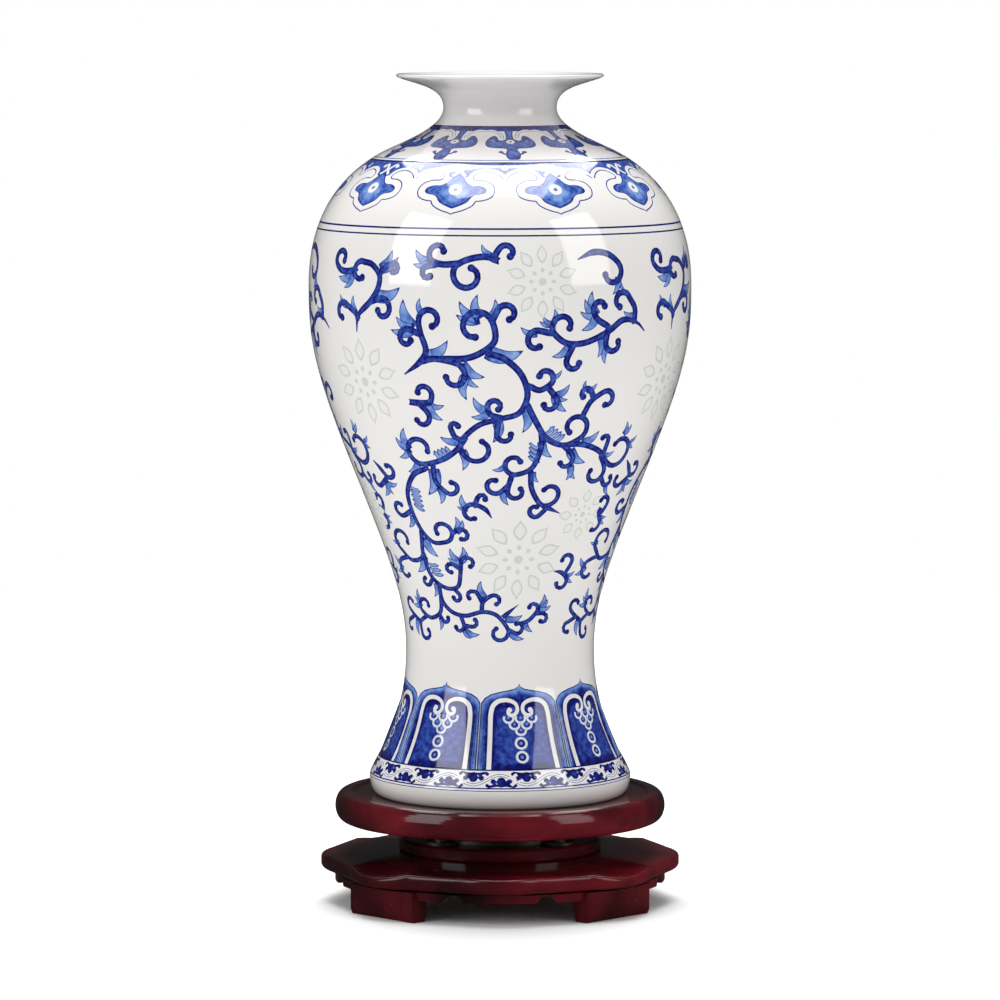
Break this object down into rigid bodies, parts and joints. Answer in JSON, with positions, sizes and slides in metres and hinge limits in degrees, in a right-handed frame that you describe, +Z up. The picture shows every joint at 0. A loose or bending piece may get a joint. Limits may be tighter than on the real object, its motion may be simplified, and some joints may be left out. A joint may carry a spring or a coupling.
{
  "type": "vase on a turning stand",
  "caption": "Baluster vase with a narrow neck, flat lip and spread foot, resting on a round wooden plate that turns on a lobed, footed base.",
  "frame": {"origin": "on the floor, on the axis that the top plate turns about", "axes": "+Z up along the vase, -Y towards the front, +X to the right seen from the front"},
  "size_m": [0.1748, 0.1748, 0.38],
  "materials": {
    "porcelain": "glossy clear glaze over underglaze blue",
    "rosewood": "dark red gloss lacquer",
    "dowel_wood": "raw",
    "zinc_steel": "zinc plated",
    "ball_steel": "polished"
  },
  "bodies": {
    "base": {"base_plate": "rosewood", "foot_front_left": "rosewood", "foot_front_right": "rosewood", "foot_back_left": "rosewood", "foot_back_right": "rosewood", "apron_front": "rosewood", "apron_right": "rosewood", "apron_back": "rosewood", "apron_left": "rosewood", "foot_dowels": "dowel_wood", "foot_nails": "zinc_steel", "spacer_disc": "rosewood", "spacer_screws": "zinc_steel", "swivel_lower_plate": "zinc_steel", "swivel_eyelet": "zinc_steel", "swivel_balls": "ball_steel", "swivel_lower_screws": "zinc_steel"},
    "turntable": {"top_plate": "rosewood", "swivel_upper_plate": "zinc_steel", "swivel_upper_screws": "zinc_steel"},
    "vase": {"vase": "porcelain"}
  },
  "joints": [
    {"name": "plate_turn", "type": "hinge", "parent": "base", "child": "turntable", "pos_m": [0, 0, 0.034], "axis": [0, 0, 1], "continuous": true},
    {"name": "vase_lift", "type": "slide", "parent": "turntable", "child": "vase", "axis": [0, 0, 1], "range_m": [0, 0.06]}
  ]
}
